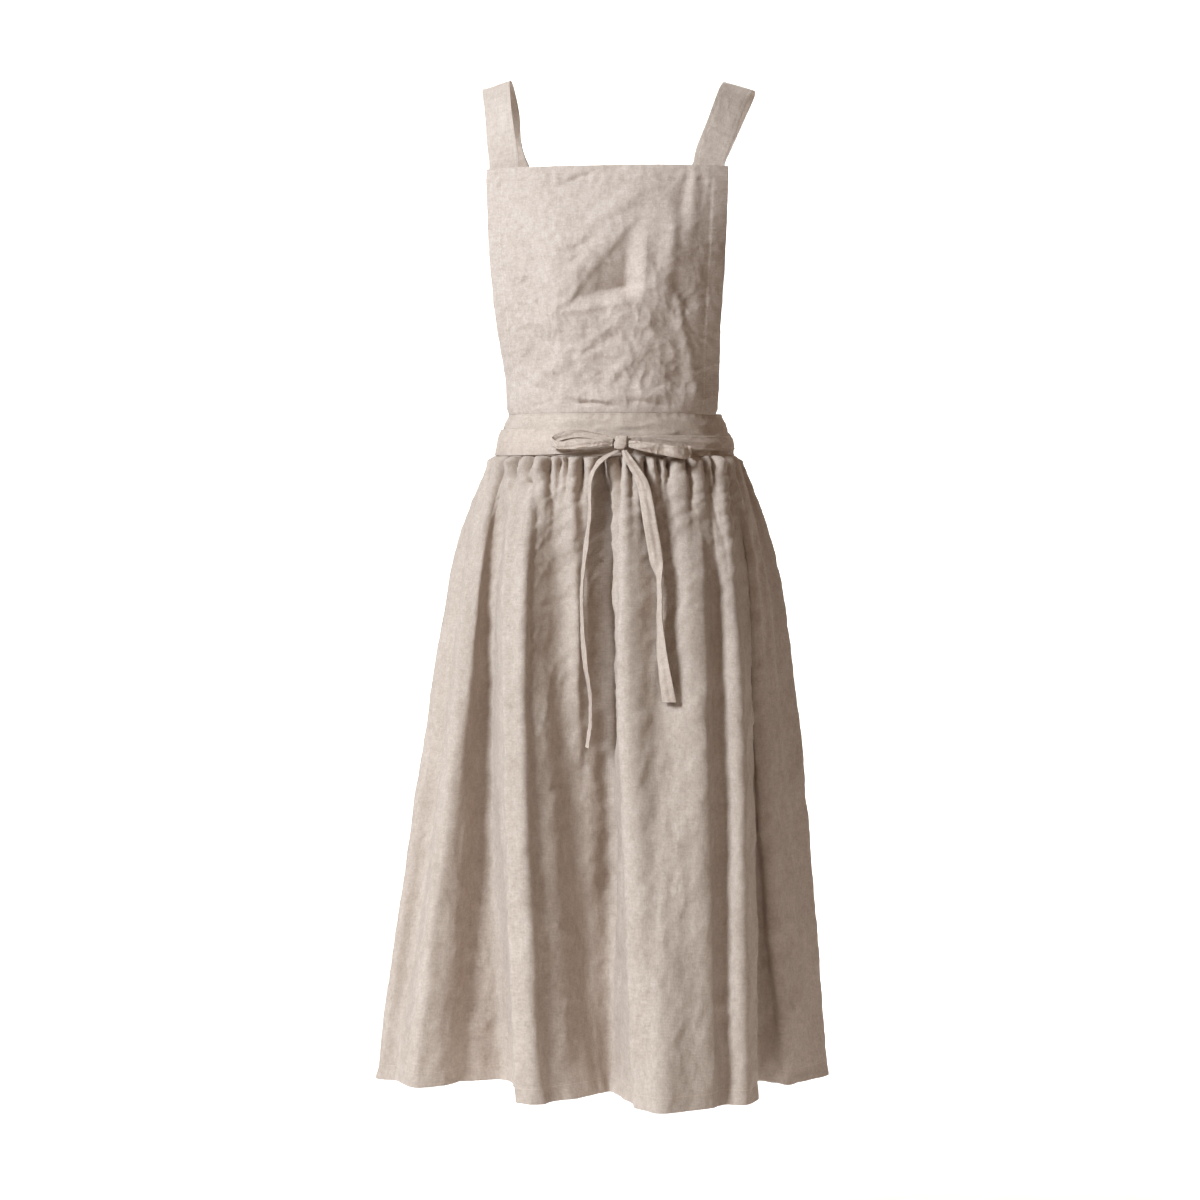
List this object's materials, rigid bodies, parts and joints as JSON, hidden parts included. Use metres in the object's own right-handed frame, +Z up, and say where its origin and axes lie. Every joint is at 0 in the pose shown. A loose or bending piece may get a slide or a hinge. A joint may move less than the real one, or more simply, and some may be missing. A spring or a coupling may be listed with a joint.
{
  "type": "cross back apron",
  "caption": "Full-length cloth apron with a square bib, straps that cross on the back, a waistband with a tied bow in front and a gathered skirt.",
  "frame": {"origin": "midway between the undersides of the two straps where they rest on the shoulders", "axes": "+Z up, -Y towards the front of the apron, +X towards the viewer's right when the front is seen"},
  "size_m": [0.4901, 0.2857, 1.0918],
  "materials": {
    "bib_cloth": "matte slubbed linen and cotton weave",
    "strap_cloth": "matte slubbed linen and cotton weave",
    "waistband_cloth": "matte slubbed linen and cotton weave",
    "skirt_cloth": "matte slubbed linen and cotton weave",
    "tie_cloth": "matte slubbed linen and cotton weave"
  },
  "bodies": {
    "root": {"bib": "bib_cloth", "strap_left": "strap_cloth", "strap_right": "strap_cloth", "waistband": "waistband_cloth", "skirt": "skirt_cloth", "tie_wrap_left": "tie_cloth", "tie_wrap_right": "tie_cloth", "bow_knot": "tie_cloth", "bow_loop_left": "tie_cloth", "bow_loop_right": "tie_cloth", "bow_tail_left": "tie_cloth", "bow_tail_right": "tie_cloth"}
  },
  "joints": []
}
